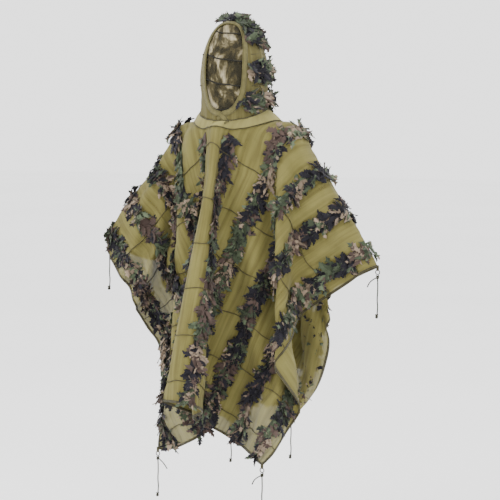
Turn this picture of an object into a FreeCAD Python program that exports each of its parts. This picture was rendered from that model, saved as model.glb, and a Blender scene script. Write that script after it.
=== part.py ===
"""Hooded ghillie poncho, worn: one rectangle of sheer mesh draped over shoulders and arms.

Frame: origin at the centre of the neck opening, +Z up, the wearer faces -Y, +X is the
wearer's left. Millimetres.
"""
import FreeCAD, Part
import math
import os

from FreeCAD import Vector

doc = FreeCAD.newDocument("ghillie_poncho")

# ---------------------------------------------------------------- driving dimensions
DIMENSIONS = [
    # the cut sheet: half its width from arm to arm, half its length from front to back
    ("cloth_half_width", 720),
    ("cloth_half_length", 1020),
    ("mesh_gap", 1.2),
    ("mesh_thick", 2.4),
    # the neck opening of the sheet
    ("neck_half_width", 138),
    ("neck_half_depth", 150),
    ("neck_level", -36),
    # the line over shoulder and arm that the sheet folds over
    ("shoulder_along", 250),
    ("shoulder_out", 243),
    ("shoulder_level", -82),
    ("left_wrist_out", 505),
    ("left_wrist_level", -485),
    ("right_wrist_out", 515),
    ("right_wrist_level", -452),
    ("side_tie_out", 3),
    ("ridge_gap", 4),
    # how the hanging cloth curves between that line and the hem
    ("belly_lift", 105),
    ("belly_push", 12),
    ("side_pinch", 70),
    ("front_hem_fore", 375),
    ("front_hem_level", -910),
    ("back_hem_aft", 415),
    ("back_hem_level", -895),
    # the four corners, each its own place because the cloth folds differently at each
    ("front_left_across", 250),
    ("front_left_along", -280),
    ("front_left_level", -1090),
    ("front_right_across", -235),
    ("front_right_along", -130),
    ("front_right_level", -1120),
    ("back_left_across", 70),
    ("back_left_along", 240),
    ("back_left_level", -1030),
    ("back_right_across", -170),
    ("back_right_along", 240),
    ("back_right_level", -1070),
    # trim on the sheet
    ("binding_width", 10),
    ("binding_thick", 4),
    ("strip_first", 85),
    ("strip_pitch", 144),
    ("strip_half_width", 48),
    ("strip_lift", 4.5),
    ("strip_thick", 9),
    ("tack_lift", 16),
    ("tack_size", 3),
    ("tack_rows", 6),
    ("tack_first", 210),
    ("tack_pitch", 148),
    # yoke and hood
    ("yoke_top", 12),
    ("yoke_drop", 46),
    ("yoke_top_width", 107),
    ("yoke_top_depth", 132),
    ("yoke_low_width", 132),
    ("yoke_low_depth", 145),
    ("yoke_thick", 3),
    ("hood_base", 14),
    ("hood_waist", 120),
    ("hood_rise", 186),
    ("hood_half_width", 104),
    ("hood_half_depth", 129),
    ("hood_fore", 22),
    ("hood_turn", 12),
    ("hood_thick", 3),
    ("crown_half_width", 42),
    ("seam_gap", 0.4),
    ("face_half_width", 66),
    ("face_half_height", 137),
    ("face_level", 155),
    ("face_edge", 10),
    ("face_edge_thick", 5),
    ("veil_thick", 1.5),
    ("veil_inset", 1),
    ("veil_cord_size", 3),
    ("veil_cord_brow", 256),
    ("veil_cord_nose", 174),
    ("veil_cord_mouth", 96),
    ("veil_hem_level", 24),
    ("hood_strip_thick", 10),
    ("hood_strip_clear", 1),
    ("hood_strip_top_low", 215),
    ("hood_strip_middle_low", 118),
    ("hood_strip_lower_low", 24),
    ("hood_strip_height", 46),
    ("hood_tack_upper", 188),
    ("hood_tack_lower", 88),
    # ties
    ("loop_radius", 7),
    ("loop_wire", 1.5),
    ("loop_drop", 8),
    ("tie_diameter", 4),
    ("knot_radius", 5.5),
    ("knot_clear", 0.6),
]

sheet = doc.addObject("Spreadsheet::Sheet", "dimensions")
for row, (alias, number) in enumerate(DIMENSIONS, start=1):
    sheet.set("A%d" % row, alias)
    sheet.set("B%d" % row, str(number))
    sheet.setAlias("B%d" % row, alias)
doc.recompute()


def size(alias):
    """Value of one driving dimension, in millimetres."""
    return float(sheet.get(alias))


FRONT, BACK = -1, 1
LEFT, RIGHT = 1, -1
CLOTH_HALF_WIDTH = size("cloth_half_width")
CLOTH_HALF_LENGTH = size("cloth_half_length")
NECK_HALF_WIDTH = size("neck_half_width")
NODES = []


def keep(obj, label):
    """Name a finished sub-part and put it on the list of files to write."""
    obj.Label = label
    NODES.append(obj)
    return obj


# ---------------------------------------------------------------- the draped surface
def corner(face, hand):
    """Place of one corner of the sheet."""
    name = ("front" if face == FRONT else "back") + ("_left" if hand == LEFT else "_right")
    return Vector(size(name + "_across"), size(name + "_along"), size(name + "_level"))


def top_line(face, across):
    """Where a thread of the sheet starts: on the neck edge, the shoulder or the arm."""
    reach = abs(across)
    hand = LEFT if across >= 0 else RIGHT
    gap = face * size("ridge_gap")
    if reach < NECK_HALF_WIDTH:
        depth = size("neck_half_depth") * math.sqrt(1 - (reach / NECK_HALF_WIDTH) ** 2)
        return Vector(across, gap + face * depth, size("neck_level"))
    neck = (NECK_HALF_WIDTH, NECK_HALF_WIDTH, size("neck_level"))
    shoulder = (size("shoulder_along"), size("shoulder_out"), size("shoulder_level"))
    side = "left" if hand == LEFT else "right"
    wrist = (CLOTH_HALF_WIDTH, size(side + "_wrist_out"), size(side + "_wrist_level"))
    start, end = (neck, shoulder) if reach <= shoulder[0] else (shoulder, wrist)
    part = (reach - start[0]) / (end[0] - start[0])
    out = start[1] + part * (end[1] - start[1])
    level = start[2] + part * (end[2] - start[2])
    return Vector(hand * out, gap, level)


def hem_line(face, across):
    """Where a thread of the sheet ends: on the front or back hem."""
    hand = LEFT if across >= 0 else RIGHT
    reach = abs(across) / CLOTH_HALF_WIDTH
    end = corner(face, hand)
    middle_along = -size("front_hem_fore") if face == FRONT else size("back_hem_aft")
    middle_level = size("front_hem_level") if face == FRONT else size("back_hem_level")
    along = middle_along + (end.y - middle_along) * reach ** 2
    level = middle_level + (end.z - middle_level) * reach ** 2
    return Vector(end.x * reach, along, level)


def drape(face, across, down):
    """Point of the hanging sheet; across is flat millimetres, down runs from 0 to 1."""
    top = top_line(face, across)
    hem = hem_line(face, across)
    hand = LEFT if across >= 0 else RIGHT
    reach = abs(across) / CLOTH_HALF_WIDTH
    pull = (top + hem) * 0.5
    pull += Vector(-hand * size("side_pinch") * reach, face * size("belly_push"), size("belly_lift"))
    return top * (1 - down) ** 2 + pull * (2 * down * (1 - down)) + hem * down ** 2


def outward(face, across, down):
    """Unit normal of the draped surface, away from the wearer."""
    step_across, step_down = 4.0, 0.01
    low = max(down - step_down, 0.0)
    high = min(down + step_down, 1.0)
    left = min(across + step_across, CLOTH_HALF_WIDTH)
    right = max(across - step_across, -CLOTH_HALF_WIDTH)
    along_down = drape(face, across, high) - drape(face, across, low)
    along_across = drape(face, left, max(down, 0.08)) - drape(face, right, max(down, 0.08))
    normal = along_down.cross(along_across) * -face
    return normal.normalize()


def layer(stations, columns, low, high):
    """Closed solid that follows the drape: stations are (face, down), columns are across."""
    def raised(height):
        return [[drape(face, across, down) + outward(face, across, down) * height
                 for across in columns] for face, down in stations]

    return closed_solid(raised(low), raised(high))


def closed_solid(inner, outer):
    """Solid between two grids of points, its rim included, in flat triangles."""
    rows, count = len(inner), len(inner[0])
    facets = []

    def quad(a, b, c, d):
        facets.extend([(a, b, c), (a, c, d)])

    for i in range(rows - 1):
        for j in range(count - 1):
            quad(outer[i][j], outer[i + 1][j], outer[i + 1][j + 1], outer[i][j + 1])
            quad(inner[i][j], inner[i][j + 1], inner[i + 1][j + 1], inner[i + 1][j])
    for i in range(rows - 1):
        quad(inner[i][0], inner[i + 1][0], outer[i + 1][0], outer[i][0])
        quad(outer[i][-1], outer[i + 1][-1], inner[i + 1][-1], inner[i][-1])
    for j in range(count - 1):
        quad(outer[0][j], outer[0][j + 1], inner[0][j + 1], inner[0][j])
        quad(inner[-1][j], inner[-1][j + 1], outer[-1][j + 1], outer[-1][j])
    faces = [Part.Face(Part.makePolygon([a, b, c, a])) for a, b, c in facets]
    shell = Part.makeShell(faces)
    shell.sewShape()
    solid = Part.Solid(shell)
    if solid.Volume < 0:
        solid.reverse()
    return solid


def soft_part(label, *solids):
    """One soft sub-part, from one solid or from a few that lie apart."""
    obj = doc.addObject("Part::Feature", label)
    obj.Shape = solids[0] if len(solids) == 1 else Part.makeCompound(list(solids))
    obj.Placement = FreeCAD.Placement()
    return keep(obj, label)


# ---------------------------------------------------------------- the sheet and its edges
PANEL_END = 1 - (size("binding_width") + 1) / CLOTH_HALF_LENGTH
SIDE_EDGE = CLOTH_HALF_WIDTH - size("binding_width")
DOWN_STEPS = [0, 0.07, 0.16, 0.27, 0.39, 0.52, 0.65, 0.78, 0.9, PANEL_END]
STRIP_CENTRES = [size("strip_first") + k * size("strip_pitch") for k in range(5)]


def strip_edges(centre):
    """The two sides of a leaf strip, the outermost held inside the side binding."""
    half = size("strip_half_width")
    outer = min(centre + half, SIDE_EDGE - 2)
    return [outer - 2 * half, outer - half, outer]


def panel_columns():
    """Threads that the panels are built on: every strip edge, the neck and the sides."""
    reaches = [0, NECK_HALF_WIDTH, SIDE_EDGE - 1]
    for centre in STRIP_CENTRES:
        reaches.extend(strip_edges(centre))
    reaches = sorted(set(round(reach, 3) for reach in reaches))
    return [-reach for reach in reversed(reaches[1:])] + reaches


def one_face(face, steps):
    """Stations of a piece on one face, always in the order front hem, top, back hem."""
    ordered = steps if face == BACK else reversed(steps)
    return [(face, down) for down in ordered]


def make_panels():
    """Front and back halves of the one mesh sheet, open at the neck and the sides."""
    low = size("mesh_gap")
    high = low + size("mesh_thick")
    for face, label in ((FRONT, "front_mesh"), (BACK, "back_mesh")):
        soft_part(label, layer(one_face(face, DOWN_STEPS), panel_columns(), low, high))


def make_hems():
    """Folded tape along the front and back hems."""
    low = size("mesh_gap")
    start = 1 - size("binding_width") / CLOTH_HALF_LENGTH
    for face, label in ((FRONT, "front_hem_binding"), (BACK, "back_hem_binding")):
        stations = [(face, start), (face, 1.0)]
        soft_part(label, layer(stations, panel_columns(), low, low + size("binding_thick")))


def over_the_top(end):
    """Stations of a piece that runs over the arm, from end on the front to end on the back."""
    steps = DOWN_STEPS[:-1] + [end]
    return one_face(FRONT, steps) + one_face(BACK, steps)


def make_side_bindings():
    """Folded tape along each side edge, from front corner over the wrist to back corner."""
    low = size("mesh_gap")
    for hand, label in ((LEFT, "left_side_binding"), (RIGHT, "right_side_binding")):
        columns = sorted([hand * SIDE_EDGE, hand * CLOTH_HALF_WIDTH])
        soft_part(label, layer(over_the_top(1.0), columns, low, low + size("binding_thick")))


# ---------------------------------------------------------------- leaf strips and tack cords
def make_leaf_strips():
    """Strips of leaf-cut fabric, front hem to back hem; the inner pair stops at the neck."""
    low = size("strip_lift")
    high = low + size("strip_thick")
    for number, centre in enumerate(STRIP_CENTRES, start=1):
        for hand, side in ((LEFT, "left"), (RIGHT, "right")):
            columns = sorted(hand * reach for reach in strip_edges(centre))
            if number > 1:
                strip = layer(over_the_top(PANEL_END), columns, low, high)
                soft_part("leaf_strip_%s_%d" % (side, number), strip)
                continue
            for face, name in ((FRONT, "front"), (BACK, "back")):
                strip = layer(one_face(face, DOWN_STEPS[1:]), columns, low, high)
                soft_part("leaf_strip_%s_%s_%d" % (name, side, number), strip)


def make_tack_cords():
    """Thin cords across the sheet that tack the leaf strips down, in level rows."""
    low = size("tack_lift")
    high = low + size("tack_size")
    half_height = size("tack_size") / CLOTH_HALF_LENGTH / 2
    columns = [across for across in panel_columns() if abs(across) < SIDE_EDGE - 1]
    for face, name in ((FRONT, "front"), (BACK, "back")):
        for row in range(int(size("tack_rows"))):
            down = (size("tack_first") + row * size("tack_pitch")) / CLOTH_HALF_LENGTH
            stations = [(face, down - half_height), (face, down + half_height)]
            cord = layer(stations, columns, low, high)
            soft_part("%s_tack_cord_%d" % (name, row + 1), cord)


# ---------------------------------------------------------------- solids made of primitives
def bind(obj, **formulas):
    """Tie an object's sizes to the sheet."""
    for name, formula in formulas.items():
        obj.setExpression(name, formula)
    return obj


def cell(formula):
    """A formula in which every driving dimension is written as sheet.alias."""
    words = formula.replace("(", " ( ").replace(")", " ) ").split()
    aliases = {alias for alias, number in DIMENSIONS}
    return " ".join("dimensions." + word if word in aliases else word for word in words)


def head_place():
    """The hood sits forward of the neck and is turned to the wearer's left."""
    turned = FreeCAD.Rotation(Vector(0, 0, 1), size("hood_turn"))
    return FreeCAD.Placement(Vector(0, -size("hood_fore"), 0), turned)


def keep_on_head(obj, label):
    """Keep a piece that was made square to the hood, put in its place on the head."""
    placed = doc.addObject("Part::Compound", label)
    placed.Links = [obj]
    placed.Placement = head_place()
    return keep(placed, label)


def ellipse_at(name, wide, deep, level, place=None):
    """Level ellipse: half width along X, half depth along Y, about the neck or a given place."""
    curve = doc.addObject("Part::Ellipse", name)
    upright = FreeCAD.Placement(Vector(), FreeCAD.Rotation(Vector(0, 0, 1), 90))
    curve.Placement = place.multiply(upright) if place else upright
    bind(curve, MajorRadius=cell(deep), MinorRadius=cell(wide))
    curve.setExpression(".Placement.Base.z", cell(level))
    return curve


def loft(name, sections):
    """Solid through closed sections."""
    solid = doc.addObject("Part::Loft", name)
    solid.Sections = sections
    solid.Solid = True
    solid.Ruled = True
    return solid


def cut(name, base, tool):
    """Base less tool."""
    result = doc.addObject("Part::Cut", name)
    result.Base = base
    result.Tool = tool
    return result


def common(name, base, tool):
    """What base and tool share."""
    result = doc.addObject("Part::Common", name)
    result.Base = base
    result.Tool = tool
    return result


def fuse(name, base, tool):
    """Base and tool as one."""
    result = doc.addObject("Part::Fuse", name)
    result.Base = base
    result.Tool = tool
    return result


def box(name, low, high):
    """Block between two corners, each given as three formulas."""
    block = doc.addObject("Part::Box", name)
    for axis, side, first, last in zip("xyz", ("Length", "Width", "Height"), low, high):
        block.setExpression(side, cell("( %s ) - ( %s )" % (last, first)))
        block.setExpression(".Placement.Base." + axis, cell(first))
    return block


def make_yoke():
    """Smooth tapered band round the neck that hood and sheet are sewn to."""
    shells = []
    for name, inset in (("outer", "0"), ("inner", "yoke_thick")):
        top = ellipse_at("yoke_%s_top" % name, "yoke_top_width - " + inset,
                         "yoke_top_depth - " + inset, "yoke_top", head_place())
        low = ellipse_at("yoke_%s_low" % name, "yoke_low_width - " + inset,
                         "yoke_low_depth - " + inset, "yoke_top - yoke_drop")
        shells.append(loft("yoke_%s_body" % name, [low, top]))
    keep(cut("yoke", shells[0], shells[1]), "neck_yoke")


def hood_form(name, grow, base_level="hood_base"):
    """Solid head form: an oval column with a half ellipsoid on top, grown by a distance."""
    oval = ellipse_at(name + "_oval", "hood_half_width + " + grow, "hood_half_depth + " + grow,
                      base_level)
    column = doc.addObject("Part::Extrusion", name + "_column")
    column.Base = oval
    column.DirMode = "Custom"
    column.Dir = Vector(0, 0, 1)
    column.Solid = True
    column.setExpression("LengthFwd", cell("hood_waist - " + base_level))
    dome = doc.addObject("Part::Ellipsoid", name + "_dome")
    dome.Angle1 = 0
    bind(dome, Radius1=cell("hood_rise + " + grow), Radius2=cell("hood_half_width + " + grow),
         Radius3=cell("hood_half_depth + " + grow))
    dome.setExpression(".Placement.Base.z", cell("hood_waist"))
    return fuse(name, column, dome)


def hood_shell(name, inside, outside, base_level="hood_base"):
    """Hollow layer of the hood between two distances from its inner face."""
    outer = hood_form(name + "_outer", outside, base_level)
    inner = hood_form(name + "_inner", inside, base_level)
    return cut(name, outer, inner)


def face_prism(name, grow):
    """Oval bar along Y through the face opening, grown by a distance."""
    oval = doc.addObject("Part::Ellipse", name + "_oval")
    turned = FreeCAD.Rotation(Vector(1, 0, 0), 90)
    upright = FreeCAD.Rotation(Vector(0, 0, 1), 90)
    oval.Placement = FreeCAD.Placement(Vector(), turned.multiply(upright))
    bind(oval, MajorRadius=cell("face_half_height + " + grow),
         MinorRadius=cell("face_half_width + " + grow))
    oval.setExpression(".Placement.Base.z", cell("face_level"))
    bar = doc.addObject("Part::Extrusion", name)
    bar.Base = oval
    bar.DirMode = "Custom"
    bar.Dir = Vector(0, -1, 0)
    bar.Solid = True
    bar.setExpression("LengthFwd", cell("2 * hood_half_depth"))
    return bar


HOOD_TOP = "2 * hood_rise + hood_waist"


def crown_zone(name, half_width):
    """Block of the crown panel: over the head from the brow, and down behind it."""
    low = "0 - ( 2 * hood_half_depth )"
    high = "2 * hood_half_depth"
    over = box(name + "_over", ("0 - ( " + half_width + " )", low, "face_level"),
               (half_width, high, HOOD_TOP))
    behind = box(name + "_behind", ("0 - ( " + half_width + " )", "0", "0"),
                 (half_width, high, HOOD_TOP))
    return fuse(name, over, behind)


def make_hood():
    """Crown panel and two side panels, parted at the crown seams, open at the face."""
    whole = cut("hood_open", hood_shell("hood_cloth", "0", "hood_thick"),
                face_prism("face_hole", "0"))
    reach = "2 * hood_half_depth"
    crown = crown_zone("crown_zone", "crown_half_width")
    keep_on_head(common("crown_panel", whole, crown), "hood_crown")
    sides = cut("hood_sides", whole, crown_zone("crown_seam", "crown_half_width + seam_gap"))
    for label, first, last in (("hood_left_side", "seam_gap", reach),
                               ("hood_right_side", "0 - ( " + reach + " )", "0 - seam_gap")):
        block = box(label + "_block", (first, "0 - ( " + reach + " )", "0"), (last, reach, HOOD_TOP))
        keep_on_head(common(label + "_panel", sides, block), label)


def make_face():
    """Binding round the face opening, the veil inside it and the cords across the veil."""
    layer_out = hood_shell("edge_layer", "hood_thick + seam_gap", "hood_thick + face_edge_thick")
    ring = cut("edge_ring", face_prism("edge_out", "face_edge"), face_prism("edge_in", "0"))
    keep_on_head(common("face_edge_band", layer_out, ring), "face_opening_binding")

    veil_layer = hood_shell("veil_layer", "0 - veil_thick - veil_inset", "0 - veil_inset")
    veil = common("veil_cloth", veil_layer, face_prism("veil_hole", "face_edge"))
    keep_on_head(veil, "face_veil")

    cord_layer = hood_shell("veil_cord_layer", "0 - veil_inset + seam_gap",
                            "veil_cord_size - veil_inset + seam_gap")
    opening = common("veil_cord_field", cord_layer, face_prism("veil_cord_hole", "0 - seam_gap"))
    reach = "2 * hood_half_depth"
    for label in ("veil_cord_brow", "veil_cord_nose", "veil_cord_mouth", "veil_hem_level"):
        slab = box(label + "_slab", ("0 - ( " + reach + " )", "0 - ( " + reach + " )", label),
                   (reach, "0", label + " + veil_cord_size"))
        node = "veil_lower_hem" if label == "veil_hem_level" else label
        keep_on_head(common(label + "_bar", opening, slab), node)


def make_hood_strips():
    """Bands of leaf-cut fabric round the hood, open at the face."""
    band = hood_shell("leaf_layer", "hood_thick + hood_strip_clear",
                      "hood_thick + hood_strip_clear + hood_strip_thick", "hood_strip_lower_low - 2")
    field = cut("leaf_field", band, face_prism("leaf_hole", "face_edge + seam_gap"))
    reach = "2 * hood_half_depth"
    for place in ("top", "middle", "lower"):
        low = "hood_strip_%s_low" % place
        high = HOOD_TOP if place == "top" else low + " + hood_strip_height"
        slab = box(place + "_slab", ("0 - ( " + reach + " )", "0 - ( " + reach + " )", low),
                   (reach, reach, high))
        band_piece = common("hood_leaf_%s_band" % place, field, slab)
        keep_on_head(band_piece, "hood_leaf_strip_" + place)


def make_hood_tack_cords():
    """Two thin cords round the hood, between its leaf bands."""
    band = hood_shell("tack_layer", "hood_thick + seam_gap", "hood_thick + seam_gap + tack_size")
    field = cut("tack_field", band, face_prism("tack_hole", "face_edge + seam_gap"))
    reach = "2 * hood_half_depth"
    for place in ("upper", "lower"):
        low = "hood_tack_" + place
        slab = box("tack_%s_slab" % place, ("0 - ( " + reach + " )", "0 - ( " + reach + " )", low),
                   (reach, reach, low + " + tack_size"))
        keep_on_head(common("hood_tack_%s_bar" % place, field, slab), "hood_tack_cord_" + place)


# ---------------------------------------------------------------- ties
# Each long tail hangs from its knot and each short one stands off towards the wearer's
# middle; the routes are offsets from the tail's start, the short one's x counted inward.
TAIL_ROUTE = [(0, 0, 0), (2, -1, -34), (-2, 1, -66), (1, 2, -97), (-2, -1, -124)]
SHORT_ROUTE = [(0, 0, 0), (13, -2, -7), (25, -2, -19), (31, 1, -31)]


def tie_places():
    """Name of each tie and the point of the sheet's edge where its loop is sewn."""
    places = {}
    for face, end in ((FRONT, "front"), (BACK, "back")):
        for hand, side in ((LEFT, "left"), (RIGHT, "right")):
            places["%s_%s" % (end, side)] = corner(face, hand)
    for hand, side in ((LEFT, "left"), (RIGHT, "right")):
        out = size(side + "_wrist_out") + size("side_tie_out")
        places["side_" + side] = Vector(hand * out, 0, size(side + "_wrist_level"))
    return places


def loop_centre(place):
    """Centre of the loop that hangs from an edge point."""
    return place - Vector(0, 0, size("loop_drop") + size("loop_radius"))


def cord_tube(label, points, diameter):
    """Round tube on straight runs joined by tangent arcs; prints the arcs' radii."""
    points = [Vector(*point) for point in points]
    edges, radii = [], []
    start = points[0]
    for before, here, after in zip(points, points[1:], points[2:]):
        into = (here - before)
        away = (after - here)
        reach = 0.45 * min(into.Length, away.Length)
        into.normalize()
        away.normalize()
        half_turn = into.getAngle(away) / 2
        radius = reach / math.tan(half_turn)
        arc_start = here - into * reach
        arc_end = here + away * reach
        middle = (away - into).normalize()
        depth = radius * (1 / math.cos(half_turn) - 1)
        edges.append(Part.LineSegment(start, arc_start).toShape())
        edges.append(Part.Arc(arc_start, here + middle * depth, arc_end).toShape())
        radii.append(round(radius))
        start = arc_end
    edges.append(Part.LineSegment(start, points[-1]).toShape())
    spine = Part.Wire(edges)
    first = points[1] - points[0]
    ring = Part.Wire([Part.makeCircle(diameter / 2, points[0], first)])
    tube = spine.makePipeShell([ring], True, True)
    expected = math.pi * diameter ** 2 / 4 * spine.Length
    print(label, "length %.1f radii %s volume/expected %.4f"
          % (spine.Length, radii, tube.Volume / expected))
    return tube


def make_ties():
    """Six sewn loops on the sheet, and from each a knotted cord with a short and a long tail."""
    places = tie_places()
    loops = []
    for name, place in places.items():
        loop = doc.addObject("Part::Torus", "loop_" + name)
        bind(loop, Radius1=cell("loop_radius"), Radius2=cell("loop_wire"))
        turned = FreeCAD.Rotation(Vector(1, 0, 0), 90)
        loop.Placement = FreeCAD.Placement(loop_centre(place), turned)
        loops.append(loop)
    group = doc.addObject("Part::Compound", "loops")
    group.Links = loops
    keep(group, "tie_loops")

    knot_drop = size("loop_radius") + size("loop_wire") + size("knot_clear") + size("knot_radius")
    for name, place in places.items():
        knot_centre = loop_centre(place) - Vector(0, 0, knot_drop)
        tail_start = knot_centre - Vector(0, 0, size("knot_radius") + 0.1)
        route = [tail_start + Vector(*offset) for offset in TAIL_ROUTE]
        soft_part("tie_cord_" + name, cord_tube("tie_cord_" + name, route, size("tie_diameter")))
        inward = -1 if place.x > 0 else 1
        short_start = knot_centre + Vector(inward, 0, -0.7).normalize() * (size("knot_radius") + 0.3)
        route = [short_start + Vector(inward * x, y, z) for x, y, z in SHORT_ROUTE]
        tail = cord_tube("short tail " + name, route, size("tie_diameter") * 0.9)
        ball = Part.makeSphere(size("knot_radius"), knot_centre)
        soft_part("tie_knot_" + name, ball, tail)


# ---------------------------------------------------------------- build, test and write
make_panels()
make_hems()
make_side_bindings()
make_leaf_strips()
make_tack_cords()
make_yoke()
make_hood()
make_face()
make_hood_strips()
make_hood_tack_cords()
make_ties()
doc.recompute()

for obj in doc.Objects:
    if "Invalid" in obj.State or "Error" in obj.State:
        raise SystemExit("failed object: %s %s" % (obj.Name, obj.State))
for obj in NODES:
    shape = obj.Shape
    if shape.isNull() or not shape.isValid() or not shape.Solids:
        raise SystemExit("bad shape: " + obj.Label)
    if any(solid.Volume <= 0 for solid in shape.Solids):
        raise SystemExit("inside-out or empty solid: " + obj.Label)

os.makedirs("parts", exist_ok=True)
for obj in NODES:
    obj.Shape.exportStep("parts/%s.step" % obj.Label)
    bounds = obj.Shape.BoundBox
    print("%-28s solids %d faces %4d  x %.0f..%.0f y %.0f..%.0f z %.0f..%.0f" % (
        obj.Label, len(obj.Shape.Solids), len(obj.Shape.Faces), bounds.XMin, bounds.XMax,
        bounds.YMin, bounds.YMax, bounds.ZMin, bounds.ZMax))
print("nodes:", len(NODES))
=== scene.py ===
"""Visual model of a hooded ghillie poncho, in metres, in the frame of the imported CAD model.

The sheet is draped by cloth simulation over a form that isn't kept. Everything sewn to the
sheet is then laid on it by its flat coordinates: u runs from arm to arm, v from the front hem
(negative) over the shoulders to the back hem (positive).
"""

import math
import random

import bmesh
import bpy
import numpy as np
from mathutils import Matrix, Vector, noise


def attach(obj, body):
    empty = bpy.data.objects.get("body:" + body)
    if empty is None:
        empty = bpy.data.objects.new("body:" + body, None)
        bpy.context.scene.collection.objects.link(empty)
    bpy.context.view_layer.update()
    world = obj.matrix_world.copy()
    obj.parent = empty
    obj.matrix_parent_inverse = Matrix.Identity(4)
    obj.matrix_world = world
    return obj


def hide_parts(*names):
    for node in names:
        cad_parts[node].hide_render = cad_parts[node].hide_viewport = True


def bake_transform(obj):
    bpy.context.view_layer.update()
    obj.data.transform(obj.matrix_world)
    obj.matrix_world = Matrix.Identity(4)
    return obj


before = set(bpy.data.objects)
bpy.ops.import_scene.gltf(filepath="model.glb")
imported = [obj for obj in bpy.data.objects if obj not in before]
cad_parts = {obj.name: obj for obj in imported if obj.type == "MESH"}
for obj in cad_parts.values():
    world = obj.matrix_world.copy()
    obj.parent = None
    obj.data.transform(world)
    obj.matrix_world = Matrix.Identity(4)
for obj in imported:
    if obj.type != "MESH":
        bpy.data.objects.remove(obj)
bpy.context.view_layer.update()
SCENE = bpy.context.scene

# ------------------------------------------------------------------ driving sizes
CLOTH_WIDTH, CLOTH_LENGTH = 1.44, 2.04
GRID = 0.02
NECK_HOLE = (0.085, 0.105)
NECK_LEVEL = -0.030
NECK_LIFT, CHEST_LIFT, CHEST_PUSH = 0.016, 0.028, 0.020
NECK_LIFT_INNER, NECK_LIFT_OUTER = 0.20, 0.31
NECK_LIFT_LOWEST, NECK_LIFT_FADE, CHEST_DEPTH = -0.20, 0.10, 0.12
# What lies past these reaches, the right sleeve's and the hems', is drawn in by a share of itself.
SLEEVE_REACH, SLEEVE_FLAP, SLEEVE_SHARE = 0.47, 0.03, 0.5
FRONT_HEM_REACH, BACK_HEM_REACH, HEM_SHARE = 0.365, 0.395, 0.4
WIDE_PLEAT, NARROW_PLEAT, PLEAT_MARGIN = 0.0080, 0.0032, 0.03
MESH_THICK, YOKE_THICK, VEIL_THICK, LEAF_THICK = 0.0012, 0.0014, 0.0008, 0.0006
YOKE_REACH = (0.152, 0.168)
STRIP_CENTRES = [0.085 + 0.144 * k for k in range(5)]
STRIP_HALF_WIDTH = 0.018
LEAF_SPACING, LEAF_GAP_BELOW = 0.0050, -0.32
TACK_ROWS = [0.21 + 0.148 * k for k in range(6)]
TACK_RADIUS, HOOD_TACK_RADIUS, PIPING_RADIUS = 0.0015, 0.0014, 0.0016
BINDING = 0.008
FACE_TAPE_WIDTH, FACE_TAPE_THICK = 0.018, 0.0045
# The hood is set forward of the neck and turned to the wearer's left; its seam dips in front.
HOOD_HALF_WIDTH, HOOD_HALF_DEPTH = 0.106, 0.128
HOOD_BASE, SEAM_DIP, HOOD_WAIST, HOOD_RISE = 0.007, 0.036, 0.120, 0.181
HEAD = Matrix.Translation((0, -0.022, 0)) @ Matrix.Rotation(math.radians(12), 4, "Z")
FACE_HALF_WIDTH, FACE_HALF_HEIGHT, FACE_LEVEL = 0.062, 0.140, 0.143
FACE_SQUARENESS = 2.5
HOOD_FLARE = 0.02
FLOOR_LEVEL, FLOOR_HALF_WIDTH = -1.52, 30

# Edge points of the six ties, as in the CAD model.
TIES = {
    "front_left": (0.250, -0.280, -1.090),
    "front_right": (-0.235, -0.130, -1.120),
    "back_left": (0.070, 0.240, -1.030),
    "back_right": (-0.170, 0.240, -1.070),
    "side_left": (0.508, 0.0, -0.485),
    "side_right": (-0.518, 0.0, -0.452),
}
LOOP_DROP = 0.015
KNOT_DROP = 0.0146
KNOT_RADIUS = 0.0055
CORD, SHORT_CORD = 0.004, 0.0036
TAB_RISE, TAB_LENGTH, TAB_WIDTH, TAB_THICK = 0.007, 0.0175, 0.009, 0.0046
# Radius, stretch and strand of the knot at a tail's end and of the knot at the loop.
END_KNOT, LOOP_KNOT = (0.0042, 1.6, 0.0036), (0.0046, 1.15, 0.0038)
# Routes of a tie's tails from where each starts; the short one's x counts inward.
TAIL_ROUTE = [(0, 0, 0), (0.002, -0.001, -0.034), (-0.002, 0.001, -0.066),
              (0.001, 0.002, -0.097), (-0.002, -0.001, -0.124)]
SHORT_ROUTE = [(0, 0, 0), (0.013, -0.002, -0.007), (0.025, -0.002, -0.019),
               (0.031, 0.001, -0.031)]


# ------------------------------------------------------------------ camera
def make_camera():
    """Long lens a little above the shoulder, thirty degrees round to the wearer's left."""
    azimuth, elevation, distance = math.radians(30), math.radians(5), 5.0
    aim = Vector((0.034, 0.020, -0.452))
    away = Vector((math.sin(azimuth) * math.cos(elevation),
                   -math.cos(azimuth) * math.cos(elevation), math.sin(elevation)))
    data = bpy.data.cameras.new("camera")
    data.lens = 109
    camera = bpy.data.objects.new("camera", data)
    camera.location = aim + away * distance
    camera.rotation_euler = (-away).to_track_quat("-Z", "Y").to_euler()
    SCENE.collection.objects.link(camera)
    SCENE.camera = camera


# ------------------------------------------------------------------ mesh helpers
def unit(vectors):
    """Vectors scaled to length one."""
    return vectors / np.linalg.norm(vectors, axis=-1, keepdims=True)


def add_object(name, verts, faces, material, uvs=None):
    """Smooth mesh object from points and faces; uvs is one pair for each point."""
    mesh = bpy.data.meshes.new(name)
    mesh.from_pydata([tuple(map(float, v)) for v in verts], [], faces)
    if uvs is not None:
        layer = mesh.uv_layers.new(name="flat")
        loops = np.empty(len(mesh.loops), int)
        mesh.loops.foreach_get("vertex_index", loops)
        layer.data.foreach_set("uv", np.asarray(uvs, np.float32)[loops].ravel())
    mesh.polygons.foreach_set("use_smooth", [True] * len(mesh.polygons))
    mesh.materials.append(material)
    obj = bpy.data.objects.new(name, mesh)
    SCENE.collection.objects.link(obj)
    return obj


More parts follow.
